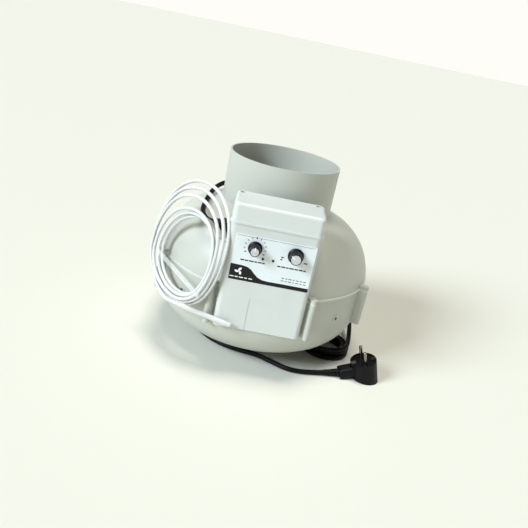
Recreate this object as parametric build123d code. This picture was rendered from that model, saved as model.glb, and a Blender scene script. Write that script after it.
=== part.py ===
from build123d import *
import os
from math import asin, cos, degrees, pi, radians, sin, sqrt, tan

# Inline duct fan, millimetres. The duct axis is Z and the inlet collar's rim is Z = 0.
# The control box faces -Y.

# ---- Driving dimensions: casing ----
duct_d = 160.0            # nominal duct that both ends fit
duct_fit = 0.5            # radial room between a spigot and its duct
wall = 2.5                # moulded wall of both shells
body_r = 153.9            # outside radius of the belt
height = 276.0            # inlet rim to outlet rim
seam_z = 125.2            # middle of the gasket between the shells
gasket_t = 3.0
gasket_proud = 1.3        # how far the gasket's lip stands out of the belt
bowl_centre_z = 83.5      # the bowl's arc starts here, below the straight belt
bowl_rho = 66.0
bowl_angle = 78.0         # degrees of arc before the flat cone to the collar
dome_centre_z = 120.0
dome_rho = 84.0
dome_angle = 66.0
boss_r = 4.5              # half-round screw columns round the belt
boss_out = 7.5            # their axis stands this far outside the belt
boss_bottom_z = 72.0
boss_angles = (24.5, 65.0, 115.0, 155.5)   # each side of the front
lug_h = 4.5
shell_screw_r = 1.75
bracket_angle = 44.0      # bracket holes, each side of the front and of the back
bracket_z = 93.5
bracket_hole_r = 2.6
bracket_rim_r = 5.6
bracket_depth = 9.0

# ---- Driving dimensions: motor and impeller ----
shaft_r = 4.0
bearing_r = 11.0
bearing_w = 7.0
running_fit = 0.03        # radial, shaft in bearing
flange_r = 46.0
flange_t = 4.0
flange_top_z = 142.0
hub_tube_r = 15.0
stator_r = 35.0
stator_h = 22.0
air_gap = 1.0
cage_t = 3.5
can_t = 2.5
can_h = 50.0
back_disc_z = 79.0        # underside of the impeller's back disc
back_disc_t = 3.0
wheel_r = 115.0
blade_count = 7
blade_t = 2.2
blade_inner_r = 68.0
blade_outer_r = 113.5
eye_r = 64.0              # inside of the impeller's eye
eye_z = 34.0
shroud_rim_z = 52.0       # shroud height at the wheel's outer edge
shroud_t = 2.0
throat_r = 60.5           # inlet nozzle's mouth inside the eye
throat_z = 38.0
nozzle_t = 1.8
nozzle_seat = 7.0         # band that seats in the collar
vane_count = 9
vane_t = 2.0
vane_bottom_z = 113.0
carrier_r = 52.5
carrier_t = 2.5
rim_t = 3.0
shell_gap = 0.6           # small gap between a loose part and its shell
ledge_t = 4.0
ledge_w = 5.5
carrier_screw_r = 141.5

# ---- Driving dimensions: control box ----
box_w = 114.8
box_front_y = -156.0
box_back_y = -95.5
box_bottom_z = 74.1
lid_z = 216.1             # joint between box and lid
box_top_z = 243.0
box_wall = 2.5
box_corner_r = 7.0
bead_h = 3.0
bead_out = 1.6
lid_screw_x = 49.5
lid_screw_y = -105.2
panel_recess_w = 38.0     # shallow recess low on the front
panel_recess_top_z = 121.0
panel_recess_d = 0.5
label_t = 0.3
label_w = 102.4
label_mid_x = 2.7
label_low_z = 143.0
label_high_z = 205.0
knob_z = 189.6
temperature_x = -22.0
speed_x = 29.2
temperature_knob_d = 18.0
speed_knob_d = 20.0
knob_h = 15.0
knob_gap = 0.6            # between the label and a knob's skirt
pot_shaft_r = 3.0
pot_bush_r = 3.5
pot_r = 8.5
pot_t = 8.0
lamp_z = 177.3
lamp_x = (-10.0, 2.9)
lamp_r = 1.6
board_t = 1.6

# ---- Driving dimensions: cords ----
cord_d = 7.0
cord_gland_y = -111.0
cord_gland_z = 197.1
gland_len = 20.0
sensor_d = 4.6
sensor_exit_y = -133.0
sensor_exit_z = 184.0
coil_x = 117.6            # mains coil on the floor, under the bowl's right side
coil_y = -28.0
coil_ring_r = 35.0        # middle of its outer ring of turns
loop_azimuth = -135.5     # where the sensor coil leans on the shells
loop_tilt = 8.0
loop_lift = 10.0
loop_t = 13.0
loop_outer_half = (71.0, 79.0)
loop_outer_mid = (4.0, 28.5)
loop_inner_r = 48.5
loop_inner_mid = (8.2, 11.5)
tape_mid = (8.9, -9.5)    # clear tape across the sensor coil's hole
tape_turn = -12.0
tape_len = 104.0
probe_r = 3.5
plug_face_r = 19.0
plug_tilt = 18.0          # the plug rests on its slanted back
plug_heading = 12.0
plug_face = (165.0, -97.0, 30.0)
plug_pin_r = 2.4
plug_shank_r = 2.0        # the pin's root, moulded into the plug
plug_pin_len = 19.0
plug_pin_half = 9.5
relief_len = 26.0
relief_hold = 3.0         # length of the strain relief inside the plug

# ---- Values that follow ----
pipe_r = duct_d / 2 - duct_fit
half_gasket = gasket_t / 2
shell_in_r = body_r - wall
box_half = box_w / 2
box_depth = box_back_y - box_front_y
box_mid_y = (box_front_y + box_back_y) / 2
boss_pcd_r = body_r + boss_out
can_z = back_disc_z + back_disc_t
cage_r = stator_r + air_gap
can_in_r = cage_r + cage_t
can_r = can_in_r + can_t
flange_z = flange_top_z - flange_t
ledge_z = vane_bottom_z - 1.0
rim_r = shell_in_r - shell_gap
label_front_y = box_front_y - label_t
up = Vector(0, 0, 1)

os.makedirs("parts", exist_ok=True)
nodes = {}


def keep(name, shape):
    nodes[name] = shape
    export_step(shape, "parts/" + name + ".step")


def group(pieces):
    return Compound(children=list(pieces))


def rod(radius, start, end):
    """Round bar between two points."""
    run = Vector(*end) - Vector(*start)
    plane = Plane(origin=start, z_dir=run)
    return plane * extrude(Circle(radius), run.length)


def disc(radius, low, high):
    return Pos(0, 0, low) * extrude(Circle(radius), high - low)


def ring(outer, inner, low, high):
    return Pos(0, 0, low) * extrude(Circle(outer) - Circle(inner), high - low)


def spun(*points):
    """Revolve an outline of (radius, z) points about the duct axis."""
    face = make_face(Plane.XZ * Polyline(*points, close=True))
    return revolve(face, Axis.Z)


def slab(x_size, y_size, z_size, x, y, z):
    return Pos(x, y, z) * Box(x_size, y_size, z_size)


def on_circle(radius, angle, z=0.0):
    return (radius * cos(radians(angle)), radius * sin(radians(angle)), z)


def cord_radii(points):
    """Arc for each corner of a cord's route, as large as its two runs allow."""
    found = []
    for before, corner, after in zip(points, points[1:], points[2:]):
        first = Vector(*corner) - Vector(*before)
        second = Vector(*after) - Vector(*corner)
        turn = first.get_angle(second)
        found.append(0.45 * min(first.length, second.length) / tan(radians(turn / 2)))
    return found


def cord_tube(name, points, diameter):
    radii = cord_radii(points)
    path = FilletPolyline(*points, radius=radii)
    start = Plane(origin=path @ 0, z_dir=path % 0)
    tube = sweep(start * Circle(diameter / 2), path=path)
    expected = pi * (diameter / 2) ** 2 * path.length
    print(name, "length", round(path.length, 1), "least radius", round(min(radii), 1),
          "volume ratio", round(tube.volume / expected, 3))
    return tube


# ---- Shells ----
def shell_half(side, centre_z, rho, angle, seam, end_z, inset):
    """Solid of revolution inside one shell's surface. side is 1 above, -1 below."""
    arc_r = rho - inset
    centre_r = body_r - rho
    past = max(0.0, side * (seam - centre_z))
    first = degrees(asin(past / arc_r))

    def arc_point(turn):
        return (centre_r + arc_r * cos(radians(turn)), centre_z + side * arc_r * sin(radians(turn)))

    start = arc_point(first)
    middle = arc_point((first + angle) / 2)
    end = arc_point(angle)
    mouth_r = pipe_r - inset
    cone_z = end[1] + side * (end[0] - mouth_r) / tan(radians(angle))
    edges = [ThreePointArc(start, middle, end), Line(end, (mouth_r, cone_z))]
    edges.append(Polyline((mouth_r, cone_z), (mouth_r, end_z), (0, end_z), (0, seam)))
    if past > 0:
        edges.append(Line((0, seam), start))
    else:
        edges.append(Polyline((0, seam), (start[0], seam), start))
    face = make_face(Plane.XZ * Curve(children=edges)).face()
    return revolve(face if face.normal_at().Y < 0 else -face, Axis.Z)


def bowl(inset, extra=0.0):
    return shell_half(-1, bowl_centre_z, bowl_rho, bowl_angle, seam_z - half_gasket + extra, -extra, inset)


def dome(inset, extra=0.0):
    return shell_half(1, dome_centre_z, dome_rho, dome_angle, seam_z + half_gasket - extra,
                      height + extra, inset)


boss_places = []
for spread in boss_angles:
    boss_places += [-90 - spread, -90 + spread]
bracket_places = [-90 - bracket_angle, -90 + bracket_angle, 90 - bracket_angle, 90 + bracket_angle]
carrier_places = [-50, 70, 190]
shell_top = seam_z - half_gasket
shell_low = seam_z + half_gasket


boss_hole = spun((0, boss_bottom_z - 1), (3.2, boss_bottom_z - 1), (3.2, boss_bottom_z + 6),
                 (shell_screw_r, boss_bottom_z + 6), (shell_screw_r, shell_top + 1), (0, shell_top + 1))


def boss_column(angle, low, high):
    """Screw column outside the belt, joined to it by a web as wide as itself."""
    web = slab(boss_out + wall, 2 * boss_r, high - low, body_r - wall + (boss_out + wall) / 2, 0, (low + high) / 2)
    return rod(boss_r, on_circle(boss_pcd_r, angle, low), on_circle(boss_pcd_r, angle, high)) + Rot(0, 0, angle) * web


def make_lower_housing():
    body = bowl(0)
    for angle in boss_places:
        body += boss_column(angle, boss_bottom_z, shell_top)
    for angle in bracket_places:
        body += rod(bracket_rim_r, on_circle(body_r - 4, angle, bracket_z), on_circle(body_r + 0.8, angle, bracket_z))
    body -= bowl(wall, 1.0)
    body += ring(shell_in_r + 0.1, shell_in_r - ledge_w, ledge_z - ledge_t, ledge_z)
    for angle in carrier_places:
        body += rod(4.5, on_circle(carrier_screw_r, angle, ledge_z - 10), on_circle(carrier_screw_r, angle, ledge_z))
        web = slab(shell_in_r - carrier_screw_r, 5, ledge_t, (shell_in_r + carrier_screw_r) / 2, 0, ledge_z - ledge_t / 2)
        body += Rot(0, 0, angle) * web
    for angle in bracket_places:
        inner = on_circle(shell_in_r - bracket_depth + wall, angle, bracket_z)
        body += rod(bracket_rim_r, inner, on_circle(shell_in_r + 1, angle, bracket_z))
        hole = on_circle(body_r - bracket_depth + 1, angle, bracket_z)
        body -= rod(bracket_hole_r, hole, on_circle(body_r + 2, angle, bracket_z))
    for angle in boss_places:
        body -= Pos(*on_circle(boss_pcd_r, angle)) * boss_hole
    for angle in carrier_places:
        body -= rod(1.5, on_circle(carrier_screw_r, angle, ledge_z - 8), on_circle(carrier_screw_r, angle, ledge_z + 1))
    return body


lead_turn = 57.0          # where the motor lead goes through the dome, degrees up its arc
lead_hole_r = 5.0
dome_mid_r = body_r - dome_rho


def lead_point(out):
    """Point on the motor lead's line through the dome wall, out mm outside it."""
    reach = dome_rho + out
    return (0, -(dome_mid_r + reach * cos(radians(lead_turn))), dome_centre_z + reach * sin(radians(lead_turn)))


def make_upper_housing():
    body = dome(0)
    for angle in boss_places:
        body += boss_column(angle, shell_low, shell_low + lug_h)
    body -= dome(wall, 1.0)
    body -= rod(lead_hole_r, lead_point(-8), lead_point(6))
    for angle in boss_places:
        low = on_circle(boss_pcd_r, angle, shell_low - 1)
        body -= rod(1.4, low, on_circle(boss_pcd_r, angle, shell_low + lug_h - 1.2))
    return body


def make_seam_gasket():
    body = ring(body_r + gasket_proud, shell_in_r, shell_top, shell_low)
    for angle in boss_places:
        body += boss_column(angle, shell_top, shell_low)
        body -= rod(1.9, on_circle(boss_pcd_r, angle, shell_top - 1), on_circle(boss_pcd_r, angle, shell_low + 1))
    return body - disc(shell_in_r, shell_top - 1, shell_low + 1)


def screw(place, direction, head_r, head_h, thread_r, length):
    """Cross-head screw: the head's seat is at place, and its thread runs along direction."""
    body = Pos(0, 0, -head_h) * extrude(Circle(head_r), head_h)
    body += extrude(Circle(thread_r), length)
    for turn in (0, 90):
        body -= Rot(0, 0, turn) * slab(head_r * 1.1, 0.8, 1.6, 0, 0, -head_h)
    return Plane(origin=place, z_dir=direction) * body


keep("lower_housing", make_lower_housing())
keep("upper_housing", make_upper_housing())
keep("seam_gasket", make_seam_gasket())
shell_screw_len = shell_low - boss_bottom_z - 6 + lug_h - 2
keep("housing_screws", group(
    screw(on_circle(boss_pcd_r, angle, boss_bottom_z + 6), (0, 0, 1), 2.9, 2.4, 1.4, shell_screw_len)
    for angle in boss_places))


# ---- Inlet nozzle, impeller and motor ----
def make_inlet_nozzle():
    """Bell mouth: a band seated in the collar, narrowing to the throat inside the impeller's eye."""
    seat_r = pipe_r - wall
    low = nozzle_seat
    knee_r = (seat_r + throat_r) / 2 + 2
    knee_z = (low + throat_z) / 2
    return spun((seat_r, 2.0), (seat_r, low + 2.5), (knee_r + nozzle_t + 1.5, knee_z), (throat_r + nozzle_t, 34.0),
                (throat_r + nozzle_t, throat_z), (throat_r, throat_z), (throat_r, 33.0), (knee_r, knee_z - 1.0),
                (seat_r - nozzle_t, low), (seat_r - nozzle_t, 2.0))


shroud_knees = [(eye_r, eye_z), (eye_r, 40.0), (73.8, 47.0), (91.5, 51.5), (wheel_r, shroud_rim_z + shroud_t)]
shroud_low_knees = [(wheel_r, shroud_rim_z), (92.0, 49.5), (75.0, 45.0), (eye_r + shroud_t, 39.0),
                    (eye_r + shroud_t, eye_z)]
wheel_screw_r = 26.0


def make_impeller_shroud():
    return spun(*shroud_knees, *shroud_low_knees)


def blade_outline():
    """Backward-curved blade seen along the axis, as a thin bent strip."""
    lean = 42.0
    inner = Vector(*on_circle(blade_inner_r, 0))
    outer = Vector(*on_circle(blade_outer_r, -lean))
    middle = Vector(*on_circle((blade_inner_r + blade_outer_r) / 2 + 4.0, -lean * 0.42))
    line = ThreePointArc(inner, middle, outer)
    return make_face(Wire(offset(line, blade_t / 2, side=Side.BOTH)))


def make_impeller_wheel():
    wheel = disc(wheel_r, back_disc_z, can_z)
    room = spun(*shroud_knees[1:], (wheel_r, back_disc_z + 0.5), (eye_r, back_disc_z + 0.5))
    blade = Pos(0, 0, eye_z) * extrude(blade_outline(), back_disc_z - eye_z + 0.5) & room
    for index in range(blade_count):
        wheel += Rot(0, 0, index * 360 / blade_count) * blade
    wheel += spun((0, back_disc_z - 9), (12, back_disc_z - 8), (19, back_disc_z - 4), (22, back_disc_z), (0, back_disc_z))
    for angle in range(0, 360, 90):
        wheel -= rod(1.8, on_circle(wheel_screw_r, angle, back_disc_z - 1), on_circle(wheel_screw_r, angle, can_z + 1))
    return wheel


def make_rotor_can():
    body = disc(can_r, can_z, can_z + can_h)
    body -= disc(can_in_r, can_z + can_t, can_z + can_h + 1)
    body += disc(shaft_r + 4, can_z + can_t, can_z + can_t + 4)
    body -= disc(shaft_r, can_z - 1, can_z + 12)
    for angle in range(0, 360, 90):
        body -= rod(1.5, on_circle(wheel_screw_r, angle, can_z - 1), on_circle(wheel_screw_r, angle, can_z + can_t + 1))
    return body


hub_tube_low = can_z + can_t + 6.5
low_bearing_z = hub_tube_low + 1.0
high_bearing_z = flange_z - bearing_w - 2.0
stator_z = (low_bearing_z + high_bearing_z + bearing_w) / 2 - stator_h / 2
clip_t = 1.2


def make_motor_flange():
    body = disc(flange_r, flange_z, flange_top_z)
    body += disc(hub_tube_r, hub_tube_low, flange_z)
    body -= disc(bearing_r, hub_tube_low - 1, flange_z + 0.5)
    for angle in range(45, 360, 90):
        body -= rod(1.5, on_circle(34, angle, flange_z - 1), on_circle(34, angle, flange_top_z + 1))
    return body


def make_stator_core():
    body = ring(stator_r, hub_tube_r, stator_z, stator_z + stator_h)
    for index in range(12):
        slot = slab(11, 3.2, stator_h + 2, stator_r - 9, 0, stator_z + stator_h / 2)
        mouth = slab(8, 1.6, stator_h + 2, stator_r - 1, 0, stator_z + stator_h / 2)
        body -= Rot(0, 0, index * 30) * (slot + mouth)
    return body


def make_stator_windings():
    """Two overhanging coil rings, one each side of the core."""
    section = 7.0
    coils = []
    for low in (stator_z - section, stator_z + stator_h):
        coil = ring(stator_r - 2, hub_tube_r + 3, low, low + section)
        outer_edges = [e for e in coil.edges() if abs(e.center().Z - low - section / 2) > 1]
        coils.append(fillet(outer_edges, 2.0))
    return group(coils)


def make_bearing(low):
    body = ring(bearing_r, shaft_r + running_fit, low, low + bearing_w)
    for face_z in (low, low + bearing_w):
        body -= ring(9.2, 6.0, face_z - 0.5, face_z + 0.5)
    return body


def make_motor_shaft():
    top = high_bearing_z + bearing_w + clip_t + 0.6
    return chamfer(Cylinder(shaft_r, top - can_z).edges(), 0.4).moved(Location((0, 0, (top + can_z) / 2)))


keep("inlet_nozzle", make_inlet_nozzle())
keep("impeller_shroud", make_impeller_shroud())
keep("impeller_wheel", make_impeller_wheel())
keep("impeller_screws", group(
    screw(on_circle(wheel_screw_r, angle, back_disc_z), (0, 0, 1), 3.4, 2.2, 1.5, back_disc_t + can_t)
    for angle in range(0, 360, 90)))
keep("rotor_can", make_rotor_can())
keep("rotor_cage", ring(can_in_r, cage_r, stator_z - 2, stator_z + stator_h + 2))
keep("motor_shaft", make_motor_shaft())
clip_z = high_bearing_z + bearing_w + 0.2
keep("shaft_clip", ring(shaft_r + 2.2, shaft_r, clip_z, clip_z + clip_t - 0.4))
keep("lower_bearing", make_bearing(low_bearing_z))
keep("upper_bearing", make_bearing(high_bearing_z))
keep("motor_flange", make_motor_flange())
keep("stator_core", make_stator_core())
keep("stator_windings", make_stator_windings())


# ---- Guide vanes ----
hub_cap_z = flange_top_z + carrier_t


def make_vane():
    """One curved guide vane, from the hub to the rim, swept back against the swirl."""
    low = (-11.0, vane_bottom_z + 0.5)
    middle = (0.0, vane_bottom_z + 13.0)
    high = (3.5, hub_cap_z - 1.0)
    line = ThreePointArc(low, middle, high)
    strip = make_face(Wire(offset(line, vane_t / 2, side=Side.BOTH)))
    plate = Plane(origin=(carrier_r - 1.5, 0, 0), x_dir=(0, 1, 0), z_dir=(1, 0, 0)) * extrude(strip, rim_r - carrier_r)
    room = spun((carrier_r - 1.2, vane_bottom_z), (rim_r - 1.0, vane_bottom_z), (rim_r - 1.0, shell_low + 1.0),
                (carrier_r - 1.2, hub_cap_z))
    return plate & room


def make_vane_carrier():
    rim_top = shell_low + 1.0
    body = ring(rim_r, rim_r - rim_t, ledge_z, rim_top)
    body += ring(carrier_r, carrier_r - carrier_t, vane_bottom_z - 4, hub_cap_z)
    body += disc(carrier_r, flange_top_z, hub_cap_z)
    body += spun((0, hub_cap_z - 0.5), (carrier_r, hub_cap_z - 0.5), (46, hub_cap_z + 8), (34, hub_cap_z + 16),
                 (18, hub_cap_z + 21), (0, hub_cap_z + 22))
    body -= spun((0, hub_cap_z - 1), (carrier_r - carrier_t, hub_cap_z - 1), (43.5, hub_cap_z + 6.5),
                 (32.5, hub_cap_z + 13.8), (17.5, hub_cap_z + 18.5), (0, hub_cap_z + 19.5))
    body += disc(carrier_r - 0.5, flange_top_z, hub_cap_z)
    vane = make_vane()
    for index in range(vane_count):
        body += Rot(0, 0, -90 + (index + 0.5) * 360 / vane_count) * vane
    for angle in carrier_places:
        tab = rod(4.5, on_circle(carrier_screw_r, angle, ledge_z), on_circle(carrier_screw_r, angle, ledge_z + 3))
        web = Rot(0, 0, angle) * slab(rim_r - carrier_screw_r - 1, 6, 3, (rim_r + carrier_screw_r - 1) / 2, 0, ledge_z + 1.5)
        body += tab + web
        body -= rod(1.8, on_circle(carrier_screw_r, angle, ledge_z - 1), on_circle(carrier_screw_r, angle, ledge_z + 4))
    for angle in range(45, 360, 90):
        body -= rod(1.8, on_circle(34, angle, flange_top_z - 1), on_circle(34, angle, hub_cap_z + 1))
    body -= rod(3.2, (0, -carrier_r - 2, lead_low_z), (0, -carrier_r + 6, lead_low_z))
    return body


lead_low_z = flange_z - 9.0
lead_r = 3.0
keep("vane_carrier", make_vane_carrier())
keep("carrier_screws", group(
    screw(on_circle(carrier_screw_r, angle, ledge_z + 3), (0, 0, -1), 3.0, 2.0, 1.45, 9.5)
    for angle in carrier_places))
keep("flange_screws", group(
    screw(on_circle(34, angle, hub_cap_z), (0, 0, -1), 3.0, 2.0, 1.45, carrier_t + flange_t)
    for angle in range(45, 360, 90)))

lead_route = [(0, -carrier_r + 2, lead_low_z), (0, -72, lead_low_z + 1), (0, -90, lead_low_z + 12), lead_point(-26),
              lead_point(12)]
keep("motor_lead", cord_tube("motor_lead", lead_route, 2 * lead_r))


def make_lead_grommet():
    body = rod(lead_hole_r, lead_point(-wall - 1.5), lead_point(1.5))
    body += rod(lead_hole_r + 1.8, lead_point(0.4), lead_point(2.2))
    return body - rod(lead_r + 0.05, lead_point(-10), lead_point(8))


keep("lead_grommet", make_lead_grommet())


# ---- Control box ----
def box_block(inset, low, high):
    """Rounded block of the control box between two heights, inset from its sides."""
    outline = RectangleRounded(box_w - 2 * inset, box_depth - 2 * inset, box_corner_r - inset)
    return Pos(0, box_mid_y, low) * extrude(outline, high - low)


housing_body = bowl(0) + dome(0) + disc(body_r, shell_top - 1, shell_low + 1)
lid_post_r = 5.0
box_in_y = box_front_y + box_wall
board_y = box_in_y + pot_t
board_back_y = board_y + board_t
board_low_z = 172.0
board_high_z = 212.0
board_screw_x = box_half - 10.0
board_screw_z = board_high_z - 5.0
lid_recess_z = box_top_z - 20.0


def lid_posts(low, high):
    """Corner posts for the lid's screws, joined to the side and back walls."""
    posts = Part()
    post_w = box_half - lid_screw_x + lid_post_r
    for side in (-1, 1):
        x = side * (box_half - post_w / 2)
        posts += Pos(x, lid_screw_y + 1, (low + high) / 2) * Box(post_w, 2 * lid_post_r + 4, high - low)
    return posts & box_block(0.5, low, high)


def make_control_box():
    body = box_block(0, box_bottom_z, lid_z)
    body -= box_block(box_wall, box_bottom_z + box_wall, lid_z + 1)
    body += lid_posts(lid_z - 9.0, lid_z)
    recess_h = panel_recess_top_z - box_bottom_z
    body -= slab(panel_recess_w, 2 * panel_recess_d, recess_h, label_mid_x, box_front_y, box_bottom_z + recess_h / 2 - 1)
    body -= housing_body
    body -= disc(body_r + gasket_proud, shell_top, shell_low)
    for x in (-lid_screw_x, lid_screw_x):
        body -= rod(1.25, (x, lid_screw_y, lid_z - 8), (x, lid_screw_y, lid_z + 1))
    for x in (-board_screw_x, board_screw_x):
        body += rod(3.0, (x, box_front_y + 1, board_screw_z), (x, board_y, board_screw_z))
        body -= rod(1.2, (x, box_front_y + box_wall, board_screw_z), (x, board_y + 1, board_screw_z))
    for x in (temperature_x, speed_x):
        body -= rod(pot_bush_r, (x, box_front_y - 1, knob_z), (x, box_front_y + box_wall + 1, knob_z))
    for x in lamp_x:
        body -= rod(lamp_r, (x, box_front_y - 1, lamp_z), (x, box_front_y + box_wall + 1, lamp_z))
    body -= rod(6.0, (-box_half - 1, cord_gland_y, cord_gland_z), (-box_half + box_wall + 1, cord_gland_y, cord_gland_z))
    body -= rod(3.6, (-box_half - 1, sensor_exit_y, sensor_exit_z), (-box_half + box_wall + 1, sensor_exit_y, sensor_exit_z))
    return body


def make_box_lid():
    body = box_block(0, lid_z + gasket_lid_t, box_top_z)
    top_edges = body.faces().sort_by(Axis.Z)[-1].edges()
    body = fillet(top_edges, 4.0)
    body += box_block(-bead_out, lid_z + gasket_lid_t, lid_z + gasket_lid_t + bead_h)
    body -= box_block(box_wall, lid_z - 1, box_top_z - box_wall)
    body += lid_posts(lid_z + gasket_lid_t, box_top_z - 1)
    for x in (-lid_screw_x, lid_screw_x):
        body -= rod(3.6, (x, lid_screw_y, lid_recess_z), (x, lid_screw_y, box_top_z + 1))
        body -= rod(1.7, (x, lid_screw_y, lid_z - 1), (x, lid_screw_y, box_top_z))
    return body


def make_lid_gasket():
    body = box_block(0, lid_z, lid_z + gasket_lid_t) - box_block(box_wall, lid_z - 1, lid_z + 3)
    body += lid_posts(lid_z, lid_z + gasket_lid_t)
    for x in (-lid_screw_x, lid_screw_x):
        body -= rod(1.7, (x, lid_screw_y, lid_z - 1), (x, lid_screw_y, lid_z + 3))
    return body


gasket_lid_t = 0.8
keep("control_box", make_control_box())
keep("box_lid", make_box_lid())
keep("lid_gasket", make_lid_gasket())
keep("lid_screws", group(
    screw((x, lid_screw_y, lid_recess_z), (0, 0, -1), 3.1, 2.2, 1.25, lid_recess_z - lid_z + 7)
    for x in (-lid_screw_x, lid_screw_x)))


def make_front_label():
    label_h = label_high_z - label_low_z
    body = slab(label_w, label_t, label_h, label_mid_x, box_front_y - label_t / 2, label_low_z + label_h / 2)
    for x in (temperature_x, speed_x):
        body -= rod(pot_bush_r, (x, box_front_y - 1, knob_z), (x, box_front_y + 1, knob_z))
    for x in lamp_x:
        body -= rod(lamp_r, (x, box_front_y - 1, lamp_z), (x, box_front_y + 1, lamp_z))
    return body


keep("front_label", make_front_label())

# ---- Inside the control box ----


def make_pot(x):
    """Rotary control: can against the front wall, threaded bush through it, bore for its shaft."""
    body = rod(pot_r, (x, box_in_y, knob_z), (x, board_y, knob_z))
    body += rod(pot_bush_r, (x, label_front_y, knob_z), (x, box_in_y + 1, knob_z))
    return body - rod(pot_shaft_r + running_fit, (x, label_front_y - 1, knob_z), (x, board_y - 2, knob_z))


def make_control_shaft(x):
    return rod(pot_shaft_r, (x, label_front_y - knob_gap - knob_h + 4, knob_z), (x, board_y - 2.2, knob_z))


def make_knob(x, diameter):
    """Turned-over knob: flared skirt, slimmer grip, blind bore on the shaft."""
    radius = diameter / 2
    back = label_front_y - knob_gap
    outline = [(pot_shaft_r, 0), (radius, 0), (radius, 2.2), (radius - 1.6, 3.4), (radius - 2.6, knob_h - 1.2),
               (radius - 3.4, knob_h - 0.6), (cap_r(diameter), knob_h - 0.6), (cap_r(diameter), knob_h - 2.0),
               (pot_shaft_r, knob_h - 2.0)]
    body = spun(*outline)
    for index in range(18):
        angle = index * 20
        body -= Rot(0, 0, angle) * (Pos(radius - 1.1, 0, 3.4) * extrude(Circle(0.75), knob_h))
    return Plane(origin=(x, back, knob_z), x_dir=(1, 0, 0), z_dir=(0, -1, 0)) * body


def cap_r(diameter):
    return diameter / 2 - 4.0


def make_cap(x, diameter, pointer):
    """Cap pressed in the knob's end, with a raised pointer line."""
    body = extrude(Circle(cap_r(diameter)), 2.2)
    body += Rot(0, 0, pointer) * slab(cap_r(diameter) - 0.6, 0.9, 0.4, cap_r(diameter) / 2, 0, 2.3)
    front = label_front_y - knob_gap - knob_h + 2.0
    return Plane(origin=(x, front, knob_z), x_dir=(1, 0, 0), z_dir=(0, -1, 0)) * body


def make_board():
    board_h = board_high_z - board_low_z
    body = slab(box_w - 2 * box_wall - 8, board_t, board_h, 0, board_y + board_t / 2, board_low_z + board_h / 2)
    for x in (-board_screw_x, board_screw_x):
        body -= rod(1.7, (x, board_y - 1, board_screw_z), (x, board_back_y + 1, board_screw_z))
    return body


keep("temperature_control", make_pot(temperature_x))
keep("speed_control", make_pot(speed_x))
keep("temperature_shaft", make_control_shaft(temperature_x))
keep("speed_shaft", make_control_shaft(speed_x))
keep("temperature_knob", make_knob(temperature_x, temperature_knob_d))
keep("speed_knob", make_knob(speed_x, speed_knob_d))
keep("temperature_cap", make_cap(temperature_x, temperature_knob_d, 0))
keep("speed_cap", make_cap(speed_x, speed_knob_d, -54))
keep("indicator_lamps", group(
    rod(lamp_r, (x, label_front_y - 0.7, lamp_z), (x, board_y, lamp_z)) for x in lamp_x))
keep("circuit_board", make_board())
keep("board_screws", group(
    screw((x, board_back_y, board_screw_z), (0, -1, 0), 2.8, 2.0, 1.2, 7.5)
    for x in (-board_screw_x, board_screw_x)))
keep("transformer", slab(30, 15, 17, -26, board_back_y + 7.5, 203.0))
keep("triac_heatsink", slab(24, 2.0, 14, 4, board_back_y + 1.0, 204.0) + group(
    slab(1.6, 12, 14, 4 + x, board_back_y + 7.0, 204.0) for x in (-10, -5, 0, 5, 10)))
keep("relay", slab(16, 12, 13, 30, board_back_y + 6.0, 202.0))
keep("motor_capacitor", rod(11.5, (-26, -117, 229.0), (26, -117, 229.0)))


def make_terminal_block():
    body = slab(44, 13, 12, 12, -137.5, 222.0)
    for index in range(6):
        body -= rod(1.8, (-6 + index * 7.2, -137.5, 221), (-6 + index * 7.2, -137.5, 229))
    return body


keep("terminal_block", make_terminal_block())


# ---- Glands ----
def hexagon(across, start, length):
    """Hexagonal prism along -X."""
    outline = RegularPolygon(across / sqrt(3), 6)
    return Plane(origin=start, z_dir=(-1, 0, 0)) * extrude(outline, length)


def along_gland(out):
    return (-box_half - out, cord_gland_y, cord_gland_z)


def make_cord_gland():
    body = rod(6.0, along_gland(-box_wall - 4), along_gland(8))
    body += hexagon(17.0, along_gland(0), 5.0)
    return body - rod(cord_d / 2, along_gland(-box_wall - 5), along_gland(9))


def make_gland_cap():
    body = hexagon(15.5, along_gland(5.2), 8.0)
    body += rod(6.2, along_gland(13), along_gland(gland_len))
    body = body - rod(6.05, along_gland(5), along_gland(8.1))
    return body - rod(cord_d / 2, along_gland(4), along_gland(gland_len + 1))


keep("cord_gland", make_cord_gland())
keep("gland_cap", make_gland_cap())


def make_gland_locknut():
    outline = RegularPolygon(17.0 / sqrt(3), 6) - Circle(6.0)
    return Plane(origin=along_gland(-box_wall), z_dir=(1, 0, 0)) * extrude(outline, 3.5)


keep("gland_locknut", make_gland_locknut())


def along_sensor(out):
    return (-box_half - out, sensor_exit_y, sensor_exit_z)


def make_sensor_grommet():
    body = rod(3.6, along_sensor(-box_wall - 1.5), along_sensor(1.5))
    body += rod(5.2, along_sensor(-box_wall - 1.5), along_sensor(-box_wall))
    body += rod(5.2, along_sensor(0), along_sensor(2.0))
    return body - rod(sensor_d / 2, along_sensor(-box_wall - 3), along_sensor(3))


keep("sensor_grommet", make_sensor_grommet())


# ---- Sensor lead ----
loop_mid_r = dome_mid_r + dome_rho * cos(radians(loop_tilt))
loop_origin = on_circle(loop_mid_r, loop_azimuth, dome_centre_z + dome_rho * sin(radians(loop_tilt)))
loop_normal = Vector(*on_circle(cos(radians(loop_tilt)), loop_azimuth, sin(radians(loop_tilt))))
loop_plane = Plane(origin=Vector(*loop_origin) + loop_normal * loop_lift,
                   x_dir=on_circle(1.0, loop_azimuth + 90), z_dir=loop_normal)


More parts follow.
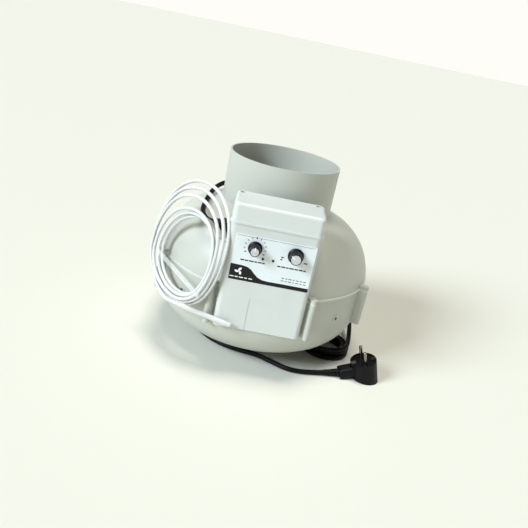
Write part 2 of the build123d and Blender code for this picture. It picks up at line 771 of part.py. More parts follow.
def make_sensor_coil():
    """Outer shape of the loosely wound sensor lead: an eccentric ring leaning on the dome."""
    outline = Pos(*loop_outer_mid) * Ellipse(*loop_outer_half) - Pos(*loop_inner_mid) * Circle(loop_inner_r)
    body = Pos(0, 0, -loop_t / 2) * extrude(outline, loop_t)
    return loop_plane * fillet(body.edges(), 3.2)


def on_loop(u, v, w):
    """Point in the sensor coil's own plane: u along it, v up it, w out of it."""
    return loop_plane.from_local_coords((u, v, w))


sensor_route = [along_sensor(-box_wall - 1.5), along_sensor(10), on_loop(40, 60, -12), on_loop(25, 72, -8),
                on_loop(8, 76, -5)]
probe_start = Vector(-104, -150, 90)
probe_end = Vector(-34, -163.5, 81.5)
probe_run = (probe_end - probe_start).normalized()
probe_route = [on_loop(-59, 6, 0), on_loop(-53, -18, 1), on_loop(-33, -38, 3), on_loop(-8, -47, 9),
               probe_start - probe_run * 17, probe_start + probe_run * 8]
cap_len = 6.0
keep("sensor_coil", make_sensor_coil())
keep("sensor_lead", cord_tube("sensor_lead", sensor_route, sensor_d))
keep("probe_lead", cord_tube("probe_lead", probe_route, sensor_d))
keep("sensor_probe", rod(probe_r, probe_start, probe_end - probe_run * cap_len) - rod(
    sensor_d / 2, probe_start - probe_run, probe_start + probe_run * 8))
keep("probe_cap", rod(probe_r - 0.3, probe_end - probe_run * cap_len, probe_end))


def make_coil_tape():
    """Clear strip stuck across the coil's hole and on to the dome."""
    strip = Pos(*tape_mid, loop_t / 2 + 0.2) * Rot(0, 0, tape_turn) * Box(tape_len, 7, 0.4)
    return loop_plane * strip


keep("coil_tape", make_coil_tape())

# ---- Mains lead ----
floor_z = cord_d / 2 + 0.1
cord_route = [along_gland(-box_wall - 4), along_gland(26), (-92.5, -101, 197.9), (-98, -84, 198.8),
              (-100, -64, 200), (-99.5, -42, 202.1), (-97, -14, 205.5), (-92.5, 17, 209), (-81.5, 46, 211),
              (-60.5, 72, 210), (-32, 89.5, 208), (-1, 98, 204.4), (30, 107, 199.5), (61, 114.5, 187),
              (92, 117, 165), (116, 111, 135), (134, 97, 100), (146, 75, 68), (155, 48, 43), (158.3, 20, 26.5),
              (156.3, -6, 19), (coil_x + coil_ring_r, coil_y, 2.5 * cord_d)]


def make_mains_coil():
    """Two rings of turns two layers high, and part of a third layer on the open side."""
    outer = coil_ring_r + cord_d / 2
    body = disc(outer, 0, 2 * cord_d) - disc(outer - 2 * cord_d, -1, 2 * cord_d + 1)
    top = ring(outer, outer - cord_d, 2 * cord_d - 1, 3 * cord_d)
    sector = make_face(Polyline((0, 0), *[on_circle(2 * outer, turn)[:2] for turn in (10, -30, -70, -110)], close=True))
    body += top & (Pos(0, 0, cord_d) * extrude(sector, 3 * cord_d))
    return Pos(coil_x, coil_y, 0) * body


plug_x = Vector(cos(radians(plug_heading)) * cos(radians(plug_tilt)),
                sin(radians(plug_heading)) * cos(radians(plug_tilt)), sin(radians(plug_tilt)))
plug_z = Vector(-cos(radians(plug_heading)) * sin(radians(plug_tilt)),
                -sin(radians(plug_heading)) * sin(radians(plug_tilt)), cos(radians(plug_tilt)))
plug_plane = Plane(origin=plug_face, x_dir=plug_x, z_dir=plug_z)
above_floor = slab(400, 400, 200, plug_face[0], plug_face[1], 100)


def on_plug(x, y, z):
    """Point in the plug's own frame: x away from the cord, z along the pins."""
    return plug_plane.from_local_coords((x, y, z))


relief_start = on_plug(-35, 0, -13)
relief_end = Vector(relief_start.X - relief_len * cos(radians(plug_heading)),
                    relief_start.Y - relief_len * sin(radians(plug_heading)), cord_d / 2 + 1.3)
relief_run = (relief_end - relief_start).normalized()


def make_plug_body():
    cup = Pos(0, 0, -52) * extrude(Circle(plug_face_r), 52)
    cup -= Pos(0, 0, -2.0) * extrude(Circle(plug_face_r - 2.2), 4)
    neck = Pos(-20, 0, -13) * Box(36, 19, 16)
    neck = fillet(neck.edges().filter_by(Axis.X), 5.0)
    neck = fillet(neck.faces().sort_by(Axis.X)[0].edges(), 2.0)
    cup += neck
    for side in (-1, 1):
        cup -= Pos(side * (plug_face_r - 0.5), 0, -9) * Box(4.0, 7.4, 22)
    for y in (-plug_pin_half, plug_pin_half):
        cup -= Pos(0, y, -12) * extrude(Circle(plug_shank_r), 20)
    cup -= Pos(-10.5, 0, -18) * extrude(Circle(2.6), 20)
    body = (plug_plane * cup) & above_floor
    body -= rod(5.6, relief_start - relief_run * relief_hold, relief_start + relief_run * 6)
    return body


def make_plug_relief():
    """Tapered, ribbed sleeve moulded on the cord."""
    plane = Plane(origin=relief_start - relief_run * relief_hold, z_dir=relief_run)
    length = relief_len + relief_hold
    face = make_face(Plane.XZ * Polyline((0, 0), (5.6, 0), (5.6, 9), (4.1, length), (0, length), close=True))
    body = revolve(face, Axis.Z)
    for index in range(4):
        low = 12 + index * 4.6
        body -= Pos(0, 0, low) * extrude(Circle(8) - Circle(4.2), 1.6)
    body -= extrude(Circle(cord_d / 2), length + 1)
    return plane * body


def make_plug_pins():
    pins = []
    for y in (-plug_pin_half, plug_pin_half):
        pin = Pos(0, y, -2) * extrude(Circle(plug_pin_r), plug_pin_len + 2)
        pin += Pos(0, y, -12) * extrude(Circle(plug_shank_r), 12)
        pin = fillet(pin.edges().sort_by(Axis.Z)[-1], 1.8)
        pins.append(plug_plane * pin)
    return group(pins)


def make_plug_contacts():
    clips = []
    for side in (-1, 1):
        clip = Pos(side * (plug_face_r - 0.8), 0, -9) * Box(1.2, 7, 18)
        clip += Pos(side * (plug_face_r - 4.2), 0, -0.9) * Box(8.0, 7, 1.2)
        clips.append(plug_plane * clip)
    return group(clips)


cord_end_route = [(coil_x - coil_ring_r, coil_y, floor_z), (87, 2, floor_z), (84, 32, floor_z), (67, 62, floor_z),
                  (38, 84, floor_z), (6, 92, floor_z), (-28, 88, floor_z), (-58, 72, floor_z), (-80, 46, floor_z),
                  (-91, 15, floor_z), (-90, -20, floor_z), (-75, -51, floor_z), (-48, -75, floor_z),
                  (-17, -87, floor_z), (13, -90, floor_z), (36, -104, floor_z), (61, -117, floor_z),
                  (90, -114, floor_z), relief_end - relief_run * 2]
keep("mains_cord", cord_tube("mains_cord", cord_route, cord_d))
keep("mains_coil", make_mains_coil())
keep("mains_cord_end", cord_tube("mains_cord_end", cord_end_route, cord_d))
keep("plug_body", make_plug_body())
keep("plug_relief", make_plug_relief())
keep("plug_pins", make_plug_pins())
keep("plug_contacts", make_plug_contacts())
print("relief", relief_start, relief_end)
print("sensor coil volume", nodes["sensor_coil"].volume, "nodes", len(nodes))
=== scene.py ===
import math
import bmesh
import bpy
from mathutils import Matrix, Vector


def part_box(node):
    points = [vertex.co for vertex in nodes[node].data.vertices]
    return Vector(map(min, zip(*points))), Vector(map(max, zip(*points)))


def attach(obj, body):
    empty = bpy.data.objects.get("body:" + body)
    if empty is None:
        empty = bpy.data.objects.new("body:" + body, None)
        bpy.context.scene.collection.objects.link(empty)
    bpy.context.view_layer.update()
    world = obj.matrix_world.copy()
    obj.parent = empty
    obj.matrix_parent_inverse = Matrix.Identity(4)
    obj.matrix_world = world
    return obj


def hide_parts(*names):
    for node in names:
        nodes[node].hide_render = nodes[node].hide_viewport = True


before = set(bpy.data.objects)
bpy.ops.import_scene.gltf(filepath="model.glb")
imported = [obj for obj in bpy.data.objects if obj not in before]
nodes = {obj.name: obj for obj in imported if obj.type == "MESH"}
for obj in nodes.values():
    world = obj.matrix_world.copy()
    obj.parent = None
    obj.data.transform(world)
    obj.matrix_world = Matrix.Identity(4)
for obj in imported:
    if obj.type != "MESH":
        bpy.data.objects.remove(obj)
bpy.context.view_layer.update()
mm = 0.001
scene = bpy.context.scene
scene.view_settings.view_transform = "Standard"
print("frame loaded:", len(nodes), "nodes")


def linearColour(hexText, alpha=1.0):
    channels = [int(hexText[i:i + 2], 16) / 255 for i in (0, 2, 4)]
    return [c / 12.92 if c <= 0.04045 else ((c + 0.055) / 1.055) ** 2.4 for c in channels] + [alpha]


def addNode(tree, kind, settings=None, links=None):
    # settings go to sockets by name, or to the node itself when it has no such socket
    node = tree.nodes.new(kind)
    for key, value in (settings or {}).items():
        if isinstance(key, int) or key in node.inputs:
            node.inputs[key].default_value = value
        else:
            setattr(node, key, value)
    for key, source in (links or {}).items():
        tree.links.new(source, node.inputs[key])
    return node


def newMaterial(name, settings):
    material = bpy.data.materials.new(name)
    material.use_nodes = True
    tree = material.node_tree
    shader = tree.nodes["Principled BSDF"]
    for key, value in settings.items():
        shader.inputs[key].default_value = value
    return material, tree, shader


def dress(material, *names):
    for name in names:
        piece = nodes[name]
        piece.data.materials.clear()
        piece.data.materials.append(material)


# the camera looks down at the control box, tipped a little to one side
cameraPlace = {"lens": 40.909, "sensor": 36.0, "at": (-0.04466, -0.85222, 0.44775),
               "right": (0.98095274, 0.02407003, 0.19274944),
               "down": (0.18776875, -0.37162171, -0.90919756),
               "forward": (0.04974546, 0.92807216, -0.36906294)}
cameraData = bpy.data.cameras.new("camera")
cameraData.lens = cameraPlace["lens"]
cameraData.sensor_width = cameraPlace["sensor"]
camera = bpy.data.objects.new("camera", cameraData)
scene.collection.objects.link(camera)
cameraAxes = (cameraPlace["right"], -Vector(cameraPlace["down"]), -Vector(cameraPlace["forward"]))
camera.matrix_world = Matrix.Translation(cameraPlace["at"]) @ Matrix(cameraAxes).transposed().to_4x4()
scene.camera = camera


def cordCurve(name, points, diameter):
    curve = bpy.data.curves.new(name, "CURVE")
    curve.dimensions = "3D"
    curve.bevel_depth = 1.0  # the points' own radius gives the thickness, which keeps the curve's box tight
    curve.bevel_resolution = 4
    curve.resolution_u = 6
    curve.use_fill_caps = True
    spline = curve.splines.new("NURBS")
    spline.points.add(len(points) - 1)
    for slotPoint, place in zip(spline.points, points):
        slotPoint.co = (place[0], place[1], place[2], 1.0)
        slotPoint.radius = diameter / 2
    spline.order_u = 3
    spline.use_endpoint_u = True
    piece = bpy.data.objects.new(name, curve)
    scene.collection.objects.link(piece)
    return piece


def splineLength(piece):
    # length of the curve's own line, measured on a copy that has no thickness
    bare = piece.copy()
    bare.data = piece.data.copy()
    bare.data.bevel_depth = 0.0
    mesh = bpy.data.meshes.new_from_object(bare)
    total = sum((mesh.vertices[e.vertices[0]].co - mesh.vertices[e.vertices[1]].co).length for e in mesh.edges)
    bpy.data.objects.remove(bare)
    return total


mains = {"diameter": 0.007, "exit": (-0.0774, -0.111, 0.1971), "coilCentre": (117.6, -28), "perTurn": 14,
         "turns": 4.5,
         # turns wound so far, radius, height: from the top of the coil down through its two layers
         "stages": [(0, 35, 17.5), (0.28, 35, 17.3), (0.42, 35, 10.6), (1.1, 35, 10.6), (1.28, 28, 10.6),
                    (2.4, 28, 10.6), (2.6, 28, 3.6), (3.4, 28, 3.6), (3.6, 35, 3.6), (4.51, 35, 3.6)]}
cordOut = [(-50.9, -111, 197.1), (-83.4, -111, 197.1), (-92.5, -101, 197.9), (-98, -84, 198.8), (-100, -64, 200),
           (-99.5, -42, 202.1), (-97, -14, 205.5), (-92.5, 17, 209), (-81.5, 46, 211), (-60.5, 72, 210),
           (-32, 89.5, 208), (-1, 98, 204.4), (30, 107, 199.5), (61, 114.5, 187), (92, 117, 165), (116, 111, 135),
           (134, 97, 100), (146, 75, 68), (155, 48, 43), (158.3, 20, 26.5), (156.3, -6, 19)]
cordHome = [(87, 2, 3.6), (84, 32, 3.6), (67, 62, 3.6), (38, 84, 3.6), (6, 92, 3.6), (-28, 88, 3.6), (-58, 72, 3.6),
            (-80, 46, 3.6), (-91, 15, 3.6), (-90, -20, 3.6), (-75, -51, 3.6), (-48, -75, 3.6), (-17, -87, 3.6),
            (13, -90, 3.6), (36, -104, 3.6), (61, -117, 3.6), (90, -114, 3.6), (112.89, -108.08, 4.96)]


def coilTurns(settings):
    # storage coil wound round the centre, following the stages
    points = []
    for step in range(int(settings["turns"] * settings["perTurn"]) + 1):
        done = step / settings["perTurn"]
        for (a, ra, za), (b, rb, zb) in zip(settings["stages"], settings["stages"][1:]):
            if a <= done <= b:
                part = (done - a) / (b - a)
                radius, height = ra + (rb - ra) * part, za + (zb - za) * part
                break
        angle = -2 * math.pi * done
        points.append((settings["coilCentre"][0] + radius * math.cos(angle),
                       settings["coilCentre"][1] + radius * math.sin(angle), height))
    return points


mainsPoints = [Vector(p) * mm for p in cordOut + coilTurns(mains) + cordHome]
mainsCord = cordCurve("mainsCord", mainsPoints, mains["diameter"])

sensor = {"diameter": 0.0046, "exit": (-0.0574, -0.133, 0.184), "azimuth": -135.5, "tilt": 8.0, "lift": 10.0,
          "domeCentre": 120.0, "domeArc": 84.0, "belt": 153.9,
          "firstPoint": 4, "lastPoints": 8, "shiftFrom": 0.3, "shiftOver": 0.6}  # where the winding starts and ends
outerTurn = [(75, 34), (72, 68), (56, 97), (26, 115), (-12, 113), (-45, 94), (-65, 60), (-73, 22), (-70, -12),
             (-50, -38), (-14, -55), (26, -52), (57, -29), (70, 2)]
innerTurn = [(60, 20), (56, 44), (42, 60), (20, 68), (-3, 66), (-22, 55), (-36, 37), (-43, 14), (-40, -7),
             (-26, -24), (-3, -34), (22, -34), (44, -23), (56, -3)]
# for each turn, first at the box end: how near it is to the inner loop, and its level in the bundle
turnBlend = [1.0, 0.9, 0.78, 0.42, 0.2, 0.0]
turnLevel = [-4.6, 0.0, 4.6, 4.6, 0.0, -4.6]


def loopPlace(u, v, w):
    # u along the coil's plane, v up it, w out of it
    azimuth, tilt = math.radians(sensor["azimuth"]), math.radians(sensor["tilt"])
    reach = sensor["belt"] - sensor["domeArc"] + sensor["domeArc"] * math.cos(tilt)
    out = Vector((math.cos(azimuth) * math.cos(tilt), math.sin(azimuth) * math.cos(tilt), math.sin(tilt)))
    along = Vector((math.cos(azimuth + math.pi / 2), math.sin(azimuth + math.pi / 2), 0))
    base = Vector((reach * math.cos(azimuth), reach * math.sin(azimuth),
                   sensor["domeCentre"] + sensor["domeArc"] * math.sin(tilt)))
    return base + out * (sensor["lift"] + w) + along * u + out.cross(along) * v


def sensorTurns():
    points = []
    size = len(outerTurn)
    last = len(turnBlend) - 1
    for place in range(sensor["firstPoint"], size * len(turnBlend) + sensor["lastPoints"]):
        turnNow = min(place / size, last - 0.001)
        low = int(turnNow)  # the turn that this point is on; it moves across to the next one part of the way round
        part = max(0.0, min(1.0, (turnNow - low - sensor["shiftFrom"]) / sensor["shiftOver"]))
        high = low + 1
        blend = turnBlend[low] + (turnBlend[high] - turnBlend[low]) * part
        level = turnLevel[low] + (turnLevel[high] - turnLevel[low]) * part
        a, b = outerTurn[place % size], innerTurn[place % size]
        points.append(loopPlace(a[0] + (b[0] - a[0]) * blend, a[1] + (b[1] - a[1]) * blend, level))
    return points


probeStart, probeEnd = Vector((-104, -150, 90)), Vector((-34, -163.5, 81.5))
probeRun = (probeEnd - probeStart).normalized()
sensorPoints = [Vector((-53.4, -133, 184)), Vector((-67.4, -133, 184)), loopPlace(40, 60, -12),
                loopPlace(25, 72, -8)] + sensorTurns()
sensorPoints += [loopPlace(-62, -4, -2), loopPlace(-50, -27, 0), loopPlace(-31, -42, 4), loopPlace(-8, -48, 9),
                 probeStart - probeRun * 17, probeStart + probeRun * 8]
sensorCord = cordCurve("sensorCord", [p * mm for p in sensorPoints], sensor["diameter"])
print("cords:", round(splineLength(mainsCord), 3), round(splineLength(sensorCord), 3))
for cordPiece in (mainsCord, sensorCord):
    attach(cordPiece, "casing")
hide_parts("mains_cord", "mains_coil", "mains_cord_end")
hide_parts("sensor_lead", "sensor_coil", "probe_lead")
splineLength(mainsCord)
splineLength(sensorCord)


unevenGloss = (0.05, 0.07)  # how far a moulded surface's roughness wanders down and up


def mouldedPlastic(name, look):
    # moulded surface: fine spark-eroded grain, faint cloudiness, slightly uneven gloss
    material, tree, shader = newMaterial(name, {"Roughness": look["roughness"], "IOR": look["ior"],
                                                "Specular IOR Level": look["specular"]})
    base = linearColour(look["colour"])
    place = addNode(tree, "ShaderNodeTexCoord")
    cloud = addNode(tree, "ShaderNodeTexNoise", {"Scale": 1 / look["cloud"], "Detail": 3.0, "Roughness": 0.5},
                    {"Vector": place.outputs["Object"]})
    shade = addNode(tree, "ShaderNodeMix", {"data_type": "RGBA", 6: [c * look["dark"] for c in base[:3]] + [1],
                                            7: base}, {0: cloud.outputs["Fac"]})
    tree.links.new(shade.outputs[2], shader.inputs["Base Color"])
    gloss = addNode(tree, "ShaderNodeMapRange", {"From Min": 0.3, "From Max": 0.7,
                                                 "To Min": look["roughness"] - unevenGloss[0],
                                                 "To Max": look["roughness"] + unevenGloss[1]},
                    {"Value": cloud.outputs["Fac"]})
    tree.links.new(gloss.outputs[0], shader.inputs["Roughness"])
    grain = addNode(tree, "ShaderNodeTexNoise", {"Scale": 1 / look["grain"], "Detail": 2.0},
                    {"Vector": place.outputs["Object"]})
    bump = addNode(tree, "ShaderNodeBump", {"Strength": look["depth"], "Distance": 0.0002},
                   {"Height": grain.outputs["Fac"]})
    tree.links.new(bump.outputs[0], shader.inputs["Normal"])
    return material


# sizes in metres: cloud is the mottling, grain the moulded texture; dark is the mottling's low point
plastics = {
    # casing: satin, slightly warm grey with a fine spark-eroded grain
    "mouldedAbsWarmGrey": {"colour": "babdb4", "roughness": 0.42, "ior": 1.53, "specular": 0.5,
                           "cloud": 0.05, "dark": 0.95, "grain": 0.0014, "depth": 0.25},
    # box, lid and inner mouldings: a cooler, lighter satin
    "mouldedAbsOffWhite": {"colour": "ccd1ce", "roughness": 0.40, "ior": 1.53, "specular": 0.5,
                           "cloud": 0.06, "dark": 0.97, "grain": 0.0012, "depth": 0.2},
    # gasket lip, grommets and probe tip: duller than the shells
    "softRubberGrey": {"colour": "cfd1c8", "roughness": 0.6, "ior": 1.5, "specular": 0.5,
                       "cloud": 0.03, "dark": 0.93, "grain": 0.001, "depth": 0.2},
    # impeller and controls: dark, with cloudy fibre marks
    "glassFilledNylonDark": {"colour": "2e2f31", "roughness": 0.5, "ior": 1.53, "specular": 0.5,
                             "cloud": 0.03, "dark": 0.8, "grain": 0.001, "depth": 0.4},
    # gland and plug: deep black with little shine
    "mouldedNylonBlack": {"colour": "08080a", "roughness": 0.5, "ior": 1.45, "specular": 0.22,
                          "cloud": 0.02, "dark": 0.7, "grain": 0.001, "depth": 0.2},
    # mains and motor leads: deep black, softly satin
    "flexiblePvcBlack": {"colour": "070708", "roughness": 0.5, "ior": 1.45, "specular": 0.22,
                         "cloud": 0.02, "dark": 0.7, "grain": 0.0012, "depth": 0.25},
    # sensor lead and probe: clean white, softly satin
    "flexiblePvcWhite": {"colour": "d0d2d1", "roughness": 0.35, "ior": 1.53, "specular": 0.5,
                         "cloud": 0.03, "dark": 0.96, "grain": 0.0012, "depth": 0.1},
    # dials: black with small highlights on the ribs
    "knobPlasticBlack": {"colour": "090b0a", "roughness": 0.4, "ior": 1.5, "specular": 0.22,
                         "cloud": 0.01, "dark": 0.8, "grain": 0.001, "depth": 0.1},
    # dial caps: pale and smoother than the dials
    "capPlasticGrey": {"colour": "c3c6c6", "roughness": 0.3, "ior": 1.5, "specular": 0.5,
                       "cloud": 0.01, "dark": 0.92, "grain": 0.001, "depth": 0.1},
    # label: smooth cool white film
    "printedPolyesterFilm": {"colour": "dde4e7", "roughness": 0.25, "ior": 1.6, "specular": 0.5,
                             "cloud": 0.04, "dark": 0.985, "grain": 0.0014, "depth": 0.08},
    # lamps: dark and glossy while off
    "tintedLampLens": {"colour": "15100f", "roughness": 0.15, "ior": 1.5, "specular": 0.5,
                       "cloud": 0.01, "dark": 0.8, "grain": 0.001, "depth": 0.05},
    # circuit board
    "solderMaskGreen": {"colour": "1d5b30", "roughness": 0.35, "ior": 1.5, "specular": 0.5,
                        "cloud": 0.01, "dark": 0.8, "grain": 0.001, "depth": 0.2},
    # relay
    "relayCaseBlue": {"colour": "23477f", "roughness": 0.3, "ior": 1.5, "specular": 0.5,
                      "cloud": 0.01, "dark": 0.9, "grain": 0.001, "depth": 0.1},
    # windings: streaky copper
    "enamelledCopper": {"colour": "b06638", "roughness": 0.35, "ior": 1.5, "specular": 0.5,
                        "cloud": 0.004, "dark": 0.6, "grain": 0.0008, "depth": 0.5},
    # tape on the loop: thin, glossy and nearly clear
    "clearTape": {"colour": "e9ebe9", "roughness": 0.2, "ior": 1.48, "specular": 0.5,
                  "cloud": 0.02, "dark": 0.97, "grain": 0.0015, "depth": 0.2},
    # band, scales and captions
    "screenPrintedInkBlack": {"colour": "131516", "roughness": 0.4, "ior": 1.5, "specular": 0.25,
                              "cloud": 0.02, "dark": 0.85, "grain": 0.0012, "depth": 0.06},
    # trim line
    "screenPrintedInkGrey": {"colour": "8c9290", "roughness": 0.3, "ior": 1.5, "specular": 0.5,
                             "cloud": 0.02, "dark": 0.9, "grain": 0.0012, "depth": 0.06},
    # fan sign and dial lines
    "screenPrintedInkWhite": {"colour": "eef0f0", "roughness": 0.35, "ior": 1.5, "specular": 0.5,
                              "cloud": 0.02, "dark": 0.95, "grain": 0.0012, "depth": 0.06},
}
finish = {name: mouldedPlastic(name, look) for name, look in plastics.items()}
finish["clearTape"].node_tree.nodes["Principled BSDF"].inputs["Alpha"].default_value = 0.25


def metal(name, hexText, roughness, brushed):
    # turned or pressed metal: fine lines give it an uneven sheen
    material, tree, shader = newMaterial(name, {"Metallic": 1.0, "Roughness": roughness})
    shader.inputs["Base Color"].default_value = linearColour(hexText)
    place = addNode(tree, "ShaderNodeTexCoord")
    lines = addNode(tree, "ShaderNodeTexNoise", {"Scale": 1 / brushed, "Detail": 2.0},
                    {"Vector": place.outputs["Object"]})
    gloss = addNode(tree, "ShaderNodeMapRange", {"To Min": roughness - 0.06, "To Max": roughness + 0.08},
                    {"Value": lines.outputs["Fac"]})
    tree.links.new(gloss.outputs[0], shader.inputs["Roughness"])
    return material


steel = metal("turnedSteel", "a9abad", 0.32, 0.002)
zincSteel = metal("zincPlatedSteel", "b8babb", 0.3, 0.002)
darkSteel = metal("blackenedSteel", "3c3d3f", 0.4, 0.002)
aluminium = metal("castAluminium", "c3c4c6", 0.42, 0.002)
nickel = metal("nickelPlatedBrass", "8f8c86", 0.2, 0.002)

dress(finish["mouldedAbsWarmGrey"], "lower_housing", "upper_housing")
dress(finish["mouldedAbsOffWhite"], "control_box", "box_lid", "inlet_nozzle", "vane_carrier", "terminal_block",
      "motor_capacitor")
dress(finish["softRubberGrey"], "seam_gasket", "lid_gasket", "lead_grommet", "sensor_grommet")
dress(finish["glassFilledNylonDark"], "impeller_wheel", "impeller_shroud", "temperature_control", "speed_control",
      "transformer")
dress(steel, "rotor_can", "motor_shaft", "shaft_clip", "lower_bearing", "upper_bearing", "stator_core",
      "temperature_shaft", "speed_shaft")
dress(zincSteel, "housing_screws", "impeller_screws", "carrier_screws", "flange_screws", "board_screws")
dress(darkSteel, "lid_screws")
dress(aluminium, "motor_flange", "rotor_cage", "triac_heatsink")
dress(finish["enamelledCopper"], "stator_windings")
dress(finish["printedPolyesterFilm"], "front_label")
dress(finish["knobPlasticBlack"], "temperature_knob", "speed_knob")
dress(finish["capPlasticGrey"], "temperature_cap", "speed_cap")
dress(finish["tintedLampLens"], "indicator_lamps")
dress(finish["solderMaskGreen"], "circuit_board")
dress(finish["relayCaseBlue"], "relay")
dress(finish["mouldedNylonBlack"], "cord_gland", "gland_cap", "gland_locknut", "plug_body", "plug_relief")
dress(finish["flexiblePvcBlack"], "motor_lead")
dress(finish["flexiblePvcWhite"], "sensor_probe")
dress(finish["softRubberGrey"], "probe_cap")
dress(finish["clearTape"], "coil_tape")
dress(nickel, "plug_pins", "plug_contacts")
mainsCord.data.materials.append(finish["flexiblePvcBlack"])
sensorCord.data.materials.append(finish["flexiblePvcWhite"])
print("materials done")


# print on the front label, and the lines on the dials
labelBox = [[v / mm for v in corner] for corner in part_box("front_label")]
printing = {"thick": 0.06, "overBand": 0.05, "dialHigh": 189.6, "leftDial": -22.0, "rightDial": 29.2,
            "tickFrom": 12.2, "tickLong": 2.3, "tickWide": 0.9, "ticks": 11, "firstTick": -120, "tickStep": 24,
            "captionHigh": 171.5, "captionThick": 1.7, "captionGap": 0.9,
            "smallPrint": (156.6, 153.0), "smallFrom": 19.5, "smallStep": 4.7, "smallThick": 0.9,
            "sign": (-36.6, 155.6), "bladeReach": 3.0, "bladeRadius": 1.5, "hubRadius": 1.1,
            "underSign": 147.4, "underFrom": -44.5, "underStep": 6.0, "underThick": 1.3,
            "trimHigh": 203.2, "trimMiddle": 2.7, "trimWide": 98, "trimThick": 0.6}


def addBar(mesh, x, z, wide, high, front, turn=0.0, thick=printing["thick"]):
    place = (Matrix.Translation(Vector((x, front + thick / 2, z)) * mm) @ Matrix.Rotation(math.radians(turn), 4, "Y")
             @ Matrix.Diagonal((wide * mm, thick * mm, high * mm, 1)))
    bmesh.ops.create_cube(mesh, size=1.0, matrix=place)


def addDisc(mesh, x, z, radius, front, thick=printing["thick"], stretch=1.0, turn=0.0):
    place = (Matrix.Translation(Vector((x, front + thick / 2, z)) * mm) @ Matrix.Rotation(math.radians(turn), 4, "Y")
             @ Matrix.Diagonal((1, 1, stretch, 1)) @ Matrix.Rotation(math.radians(90), 4, "X"))
    bmesh.ops.create_cone(mesh, cap_ends=True, segments=32, radius1=radius * mm, radius2=radius * mm,
                          depth=thick * mm, matrix=place)


def addPiece(name, mesh, material, body):
    bmesh.ops.recalc_face_normals(mesh, faces=mesh.faces)
    data = bpy.data.meshes.new(name)
    mesh.to_mesh(data)
    mesh.free()
    data.materials.append(material)
    piece = bpy.data.objects.new(name, data)
    scene.collection.objects.link(piece)
    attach(piece, body)
    return piece


printFront = labelBox[0][1] - printing["thick"]
band = bmesh.new()
bandEdge = [(-48.4, 143.2), (53.8, 143.2), (53.8, 148.4), (20, 148.4), (2, 148.2), (-6, 148.8), (-12, 151.2),
            (-17, 155.4), (-21, 159.6), (-26.4, 162.8), (-34, 164.0), (-48.4, 164.4)]
corners = [band.verts.new(Vector((x, labelBox[0][1], z)) * mm) for x, z in bandEdge]
bandFace = band.faces.new(corners)
lifted = bmesh.ops.extrude_face_region(band, geom=[bandFace])
bmesh.ops.translate(band, vec=(0, -printing["thick"] * mm, 0),
                    verts=[v for v in lifted["geom"] if isinstance(v, bmesh.types.BMVert)])
addPiece("labelBand", band, finish["screenPrintedInkBlack"], "casing")

marks = bmesh.new()
for index in range(printing["ticks"]):  # temperature scale, from 8 o'clock round to 4 o'clock
    turn = printing["firstTick"] + index * printing["tickStep"]
    reach = printing["tickFrom"] + printing["tickLong"] / 2
    addBar(marks, printing["leftDial"] + reach * math.sin(math.radians(turn)),
           printing["dialHigh"] + reach * math.cos(math.radians(turn)),
           printing["tickWide"] * (1.5 if index % 5 == 0 else 1), printing["tickLong"], printFront, turn)
for x, z, wide in ((13.6, 184.2, 3.4), (12.6, 181.0, 2.6), (43.4, 181.6, 4.6)):  # strokes on the speed scale
    addBar(marks, x, z, wide, 1.5, printFront)
captions = ((-37.5, (5, 4, 6, 3.5, 5, 3)), (9.5, (4, 5.5, 3, 6, 4.5, 5, 3)))  # left end, then each stroke's width
for start, dashes in captions:
    for wide in dashes:
        addBar(marks, start + wide / 2, printing["captionHigh"], wide, printing["captionThick"], printFront)
        start += wide + printing["captionGap"]
for z in printing["smallPrint"]:
    for step, wide in enumerate((3.4, 2.55, 4.25, 2.125, 3.825, 2.55, 3.4)):
        addBar(marks, printing["smallFrom"] + step * printing["smallStep"], z, wide, printing["smallThick"],
               printFront)
addPiece("labelMarks", marks, finish["screenPrintedInkBlack"], "casing")

trim = bmesh.new()
addBar(trim, printing["trimMiddle"], printing["trimHigh"], printing["trimWide"], printing["trimThick"], printFront)
addPiece("labelTrim", trim, finish["screenPrintedInkGrey"], "casing")

sign = bmesh.new()
signX, signZ = printing["sign"]
signFront = printFront - printing["overBand"]
for blade in range(3):  # a plain three-bladed fan sign
    turn = 120 * blade + 20
    addDisc(sign, signX + printing["bladeReach"] * math.sin(math.radians(turn)),
            signZ + printing["bladeReach"] * math.cos(math.radians(turn)), printing["bladeRadius"], signFront,
            stretch=1.7, turn=turn + 25)
addDisc(sign, signX, signZ, printing["hubRadius"], signFront)
for step, wide in enumerate((5, 4, 5.5, 3.5, 4.5)):
    addBar(sign, printing["underFrom"] + step * printing["underStep"], printing["underSign"], wide,
           printing["underThick"], signFront)
addPiece("labelSign", sign, finish["screenPrintedInkWhite"], "casing")

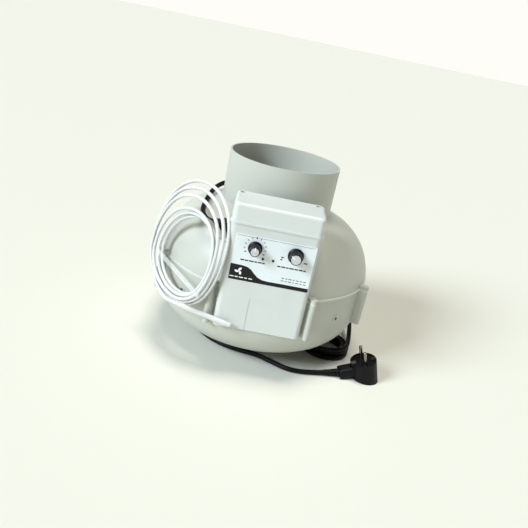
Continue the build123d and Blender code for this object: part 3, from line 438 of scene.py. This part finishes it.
dialLine = {"flare": 2.7, "reach": 0.6, "long": 0.75, "wide": 1.1, "deep": 0.6, "proud": 0.05}
for name, knob, cap, body, middle, turn in (
        ("temperatureLine", "temperature_knob", "temperature_cap", "temperature_dial", printing["leftDial"], 0),
        ("speedLine", "speed_knob", "speed_cap", "speed_dial", printing["rightDial"], -54)):
    outer = (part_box(knob)[1][0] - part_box(knob)[0][0]) / mm / 2 - dialLine["flare"]
    front = min(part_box(knob)[0][1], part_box(cap)[0][1]) / mm - dialLine["proud"]
    line = bmesh.new()
    addBar(line, middle + outer * dialLine["reach"] * math.sin(math.radians(turn)),
           printing["dialHigh"] + outer * dialLine["reach"] * math.cos(math.radians(turn)),
           dialLine["wide"], outer * dialLine["long"], front, turn, dialLine["deep"])
    addPiece(name, line, finish["screenPrintedInkWhite"], body)
print("label print done")

floorMesh = bmesh.new()
bmesh.ops.create_grid(floorMesh, x_segments=1, y_segments=1, size=30.0)  # metres, so its edge is far off
floorData = bpy.data.meshes.new("floor")
floorMesh.to_mesh(floorData)
floorMesh.free()
floor = bpy.data.objects.new("floor", floorData)
scene.collection.objects.link(floor)
floorPaint = newMaterial("paleFloor", {"Roughness": 0.8, "Base Color": linearColour("d8d8cf"),
                                       "Specular IOR Level": 0.1})[0]
floorData.materials.append(floorPaint)

world = bpy.data.worlds.new("studio")
scene.world = world
world.use_nodes = True
# bright band round the horizon, dim overhead, so that the side away from the key light stays darker
sky = world.node_tree
skyPlace = addNode(sky, "ShaderNodeTexCoord")
skyParts = addNode(sky, "ShaderNodeSeparateXYZ", links={"Vector": skyPlace.outputs["Generated"]})
skyFall = addNode(sky, "ShaderNodeMapRange", {"From Min": 0.15, "From Max": 0.3, "To Min": 1.0, "To Max": 0.06},
                  {"Value": skyParts.outputs["Z"]})
sky.nodes["Background"].inputs["Color"].default_value = linearColour("fffdf8")
sky.links.new(skyFall.outputs[0], sky.nodes["Background"].inputs["Strength"])
lights = {"keyLight": {"from": (-0.72, -0.5, 0.52), "strength": 3.7, "angle": 22, "colour": "eaf6ff"},
          "topLight": {"from": (0.0, -0.05, 1.0), "strength": 2.3, "angle": 24, "colour": "fffdf2"}}
for name, settings in lights.items():
    data = bpy.data.lights.new(name, "SUN")
    data.energy = settings["strength"]
    data.angle = math.radians(settings["angle"])
    data.color = linearColour(settings["colour"])[:3]
    light = bpy.data.objects.new(name, data)
    scene.collection.objects.link(light)
    light.rotation_euler = (-Vector(settings["from"])).to_track_quat("-Z", "Y").to_euler()
print("stage done")
